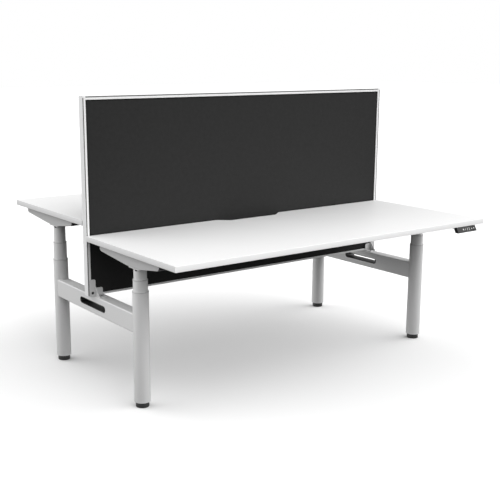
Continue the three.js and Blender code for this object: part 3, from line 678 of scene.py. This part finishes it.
def digit_paths(tall):
    """Centre lines of the numerals 1, 2 and 3, each about half as wide as it is tall."""
    r = tall / 4
    head, base = (0.2 * r, tall / 2), (0.2 * r, -tall / 2)
    one = [np.array([(-0.5 * r, tall / 2 - 0.7 * r), head]), np.array([head, base])]
    bowl = arc((0, r), r, 160, -35)
    two = [np.concatenate([bowl, [(-r, -tall / 2)]]), np.array([(-r, -tall / 2), (r, -tall / 2)])]
    three = [arc((0, r), r * 0.95, 150, -80), arc((0, -r), r, 80, -150)]
    return one, two, three


def on_face(surface, row, x=0.0):
    """Moves a flat (x, y, thickness) surface onto the handset's leaning face."""
    points, faces = surface
    turn = TURN_OF[row]
    up = np.array([0, math.sin(FACE_LEAN), math.cos(FACE_LEAN)])
    out = np.array([0, -math.cos(FACE_LEAN), math.sin(FACE_LEAN)])
    origin = np.array([FACE_MIDDLE + x, DESK_LOW[1], underside(row)]) - up * FACE_HALF
    moved = origin + points[:, :1] * np.array([1.0, 0, 0]) + points[:, 1:2] * up + points[:, 2:] * out
    return moved * np.array([turn, turn, 1.0]), faces


def raised(surface, height):
    """A flat surface lifted off the face."""
    return surface[0] + np.array([0, 0, height]), surface[1]


def behind_face(surface, row):
    """Moves a (y, z, x) section surface from the face's top edge to its row."""
    points, faces = surface
    turn = TURN_OF[row]
    across, rise, along = points.T
    return np.stack([turn * along, turn * (across + DESK_LOW[1]), underside(row) + rise], -1), faces


def pierced(xs, ys, openings, low, high):
    """Flat plate over a grid of cells, with a wall round its rim and round each open cell."""
    columns, rows = len(xs) - 1, len(ys) - 1
    x, y = np.meshgrid(xs, ys, indexing="ij")
    flat = np.stack([x, y], -1).reshape(-1, 2)
    points = np.concatenate([np.insert(flat, 2, level, axis=1) for level in (low, high)])
    count, step = len(flat), rows + 1
    shut = {(i, j) for i in range(columns) for j in range(rows)} - set(openings)
    faces = []
    for i, j in sorted(shut):
        ring = [i * step + j, (i + 1) * step + j, (i + 1) * step + j + 1, i * step + j + 1]
        faces += [ring[::-1], [corner + count for corner in ring]]
        for edge, beside in enumerate(((i, j - 1), (i + 1, j), (i, j + 1), (i - 1, j))):
            if beside not in shut:
                start, end = ring[edge], ring[(edge + 1) % 4]
                faces.append([start, end, end + count, start + count])
    return points, faces


def face_plate(end_gap, edge_gap, low, high):
    """The face with its two key pockets, its rim moved in by the gaps."""
    xs = np.array([FACE_ENDS[0] + end_gap, *KEY_SIDES, FACE_ENDS[1] - end_gap])
    ys = np.array([edge_gap - FACE_HALF, -KEY_HALF, KEY_HALF, FACE_HALF - edge_gap])
    return pierced(xs, ys, [(1, 1), (3, 1)], low, high)


def dress_handset(row):
    """Black leaning housing, its grey overlay, a status light, three touch numerals and the two arrow buttons."""
    wall, film, ink, key = 4 * MM, 0.35 * MM, 0.15 * MM, 0.8 * MM
    section = np.array([(4.6, 0), (-9.8, -25.9), (-7.0, -26.6), (6.0, -25.6), (8.0, -23.0), (20.0, 0)]) * MM
    body = slab(section, edge_profile(*(FACE_MIDDLE + FACE_ENDS), 1.0 * MM))
    rim = face_plate(0.0, 0.0, -wall, 0.0)
    stands_for(f"{row}_handset", joined(on_face(rim, row), behind_face(body, row)))
    sheet = face_plate(0.6 * MM, 0.7 * MM, 0.0, film)
    piece(f"{row}_handset_overlay", on_face(sheet, row), FINISHES["handset_plastic"], f"{row}_desk")
    marks = [raised(slab(circle((-17 * MM, 0), 4.2 * MM, 24), [(0, 0), (0, ink)]), film)]
    for number, x in zip(digit_paths(10 * MM), (-3, 11, 25)):
        for stroke in number:
            points, faces = raised(ribbon(stroke, 2.1 * MM, ink), film)
            marks.append((points + np.array([x * MM, 0, 0]), faces))
    piece(f"{row}_handset_marks", on_face(joined(*marks), row), FINISHES["white_print"], f"{row}_desk")
    for use, x, sign in (("up", 42, 1), ("down", 58, -1)):
        arrow = np.array([(-4.0, -3.0 * sign), (4.0, -3.0 * sign), (0, 4.0 * sign)])[::sign] * MM
        mark = raised(slab(arrow, [(0, 0), (0, 0.12 * MM)]), key)
        piece(f"{row}_{use}_arrow", on_face(mark, row, x * MM), FINISHES["white_print"], f"{row}_{use}_key")


# Painted shade in the screen frame's grooves: dark strips on their floors

def paint_groove_shade():
    """A dark strip of painted shade along the floor of every groove: inset from the outer edge, and short of the posts'
    plain corners.
    """
    inset, wide, plain_corner = 3 * MM, 5 * MM, 9 * MM
    deep, shallow = 11 * MM, 15.4 * MM
    post_low, post_high = span("right_screen_post")
    rail_low, rail_high = span("top_screen_rail")
    outer, top = post_high[0] - inset, rail_high[2] - inset
    bottom, head = post_low[2], post_high[2] - plain_corner
    strips = []
    for face in (-1, 1):
        near, far = sorted((face * deep, face * shallow))
        for left, right, low, high in ((-outer, wide - outer, bottom, head), (outer - wide, outer, bottom, head),
                                       (rail_low[0], rail_high[0], top - wide, top)):
            outline = [(left, near), (right, near), (right, far), (left, far)]
            strips.append(slab(outline, [(0, low), (0, high)]))
    # The strips take the dark gasket finish as painted shade for the grooves' depth
    piece("groove_painted_shade", joined(*strips), FINISHES["gasket"], "frame")


# Screws, outlets and pins

def socket_screw(radius, height, socket, sides=48):
    """Dome z = height * sqrt(1 - (r / radius)^2) round a hexagonal socket, with a flat seat at z = 0."""
    angle = np.linspace(0, 2 * np.pi, sides, endpoint=False)
    rim = (socket * math.cos(math.pi / 6) / np.cos(np.mod(angle, np.pi / 3) - np.pi / 6))[None]
    reach = rim + (radius - rim) * np.linspace(0, 1, 8)[:, None]
    dome = height * np.sqrt(np.maximum(0.0, 1 - (reach / radius) ** 2))
    floor = np.full_like(rim, 0.4 * height)
    distance = np.concatenate([0 * rim, rim, reach, 0 * rim])
    rise = np.concatenate([floor, floor, dome, 0 * rim])
    points = np.stack([distance * np.cos(angle), distance * np.sin(angle), rise], -1)
    return points.reshape(-1, 3), grid_faces(len(distance), sides, wrap_columns=True).tolist()


def placed(surface, origin, out):
    """Moves a surface so that its z axis points along out from the origin."""
    points, faces = surface
    out = np.asarray(out, float)
    side = np.cross(out, (0.0, 0.0, 1.0) if abs(out[2]) < 0.9 else (1.0, 0.0, 0.0))
    side /= np.linalg.norm(side)
    up = np.cross(out, side)
    return np.asarray(origin) + points[:, :1] * side + points[:, 1:2] * up + points[:, 2:] * out, faces


def dress_saddles():
    """Screws through the ears and the feet of the screen's saddles."""
    ear_screw = socket_screw(6.4 * MM, 3.4 * MM, 2.6 * MM)
    foot_screw = socket_screw(6.0 * MM, 3.6 * MM, 2.6 * MM)
    ear_x, ear_face, ear_rise = 877 * MM, 20.3 * MM, 16 * MM
    foot_x, foot_y, foot_rise = 845 * MM, 44 * MM, 3 * MM
    ears, feet = [], []
    for end, side in SIDE_OF.items():
        base = span(f"{end}_screen_saddle")[0][2]
        for face in (-1, 1):
            ears.append(placed(ear_screw, (side * ear_x, face * ear_face, base + ear_rise), (0, face, 0)))
            feet.append(placed(foot_screw, (side * foot_x, face * foot_y, base + foot_rise), (0, 0, 1)))
    piece("saddle_ear_screws", joined(*ears), FINISHES["black_plastic"], "frame")
    piece("saddle_foot_screws", joined(*feet), FINISHES["bare_steel"], "frame")


def head_fittings(row):
    """Screws under a row's head plates, and an oval cable outlet on the outer side of each inner tube."""
    plate_screw = socket_screw(5.0 * MM, 3.2 * MM, 2.2 * MM)
    oval = slab(circle((0, 0), 4.4 * MM, 48) * (1.5, 1), edge_profile(0, 1.2 * MM, 0.4 * MM))
    bearing, drop, seat = math.radians(68), 4.5 * MM, 27.1 * MM
    screws, outlets = [], []
    for end, side in SIDE_OF.items():
        low, high = span(f"{row}_{end}_inner_tube")
        x, y = (low + high)[:2] / 2
        under = high[2] - HEAD_PLATE
        screws += [placed(plate_screw, (x + dx, y + dy, under), (0, 0, -1))
                   for dx in (-22 * MM, 22 * MM) for dy in (-38 * MM, 38 * MM)]
        out = np.array([side * math.sin(bearing), -math.cos(bearing), 0.0])
        outlets.append(placed(oval, np.array([x, y, under - drop]) + seat * out, out))
    return screws, outlets


def box_fittings(row):
    """Screws in the end flanges of a row's control box, and the three pins in its mains inlet."""
    flange_screw = socket_screw(4.0 * MM, 2.2 * MM, 1.7 * MM)
    pin = slab(np.array([(-1, -2.5), (1, -2.5), (1, 2.5), (-1, 2.5)]) * MM,
               [(0.0, 0.0), (0.0, 11 * MM), (0.6 * MM, 12.5 * MM)])
    flange, flange_end, inlet_place, inlet_depth = 3 * MM, 8 * MM, 69.5 * MM, 15.9 * MM
    turn = TURN_OF[row]
    low, high = span(f"{row}_control_box")
    middle = (low + high) / 2
    screws = [placed(flange_screw, (x, middle[1], high[2] - flange), (0, 0, -1))
              for x in (low[0] + flange_end, high[0] - flange_end)]
    start, back = (low, high) if turn > 0 else (high, low)
    inlet = np.array([start[0] + turn * inlet_place, back[1] - turn * inlet_depth, middle[2]])
    pins = [placed(pin, inlet + np.array([dx, 0, dz]) * MM, (0, turn, 0))
            for dx, dz in ((-7, -2.5), (0, 2.5), (7, -2.5))]
    return screws, pins


def dress_underside(row):
    """A row's screws, cable outlets and inlet pins, each kind as one piece on the moving desk."""
    plate_screws, outlets = head_fittings(row)
    box_screws, pins = box_fittings(row)
    for kind, surfaces, slot in (("desk_screws", plate_screws + box_screws, "bare_steel"),
                                 ("cable_outlets", outlets, "black_plastic"), ("inlet_pins", pins, "bare_steel")):
        piece(f"{row}_{kind}", joined(*surfaces), FINISHES[slot], f"{row}_desk")


photo_camera()
studio()
for node, made in nodes.items():
    made.data.materials.clear()
    made.data.materials.append(finish_for(node))
for name in COLUMNS:
    dress_column(name)
    softened(f"{name}_arm", ease=1.0 * MM)
for row in ROWS:
    dress_desktop(row)
    softened(f"{row}_cross_rail", ease=1.5 * MM, segments=3)
    softened(f"{row}_control_box", ease=1.0 * MM)
    for use in ("up", "down"):
        softened(f"{row}_{use}_button", ease=0.4 * MM)
    dress_handset(row)
for end in ENDS:
    softened(f"{end}_beam", ease=0.4 * MM)
    softened(f"{end}_slot_liner", ease=0.3 * MM)
    softened(f"{end}_screen_saddle", ease=0.5 * MM)
    softened(f"{end}_screen_post", ease=0.4 * MM)
softened("top_screen_rail", ease=0.4 * MM)
softened("bottom_screen_rail", ease=0.4 * MM, trim=LIP_TRIM)
dress_panel()
paint_groove_shade()
dress_saddles()
for row in ROWS:
    dress_underside(row)
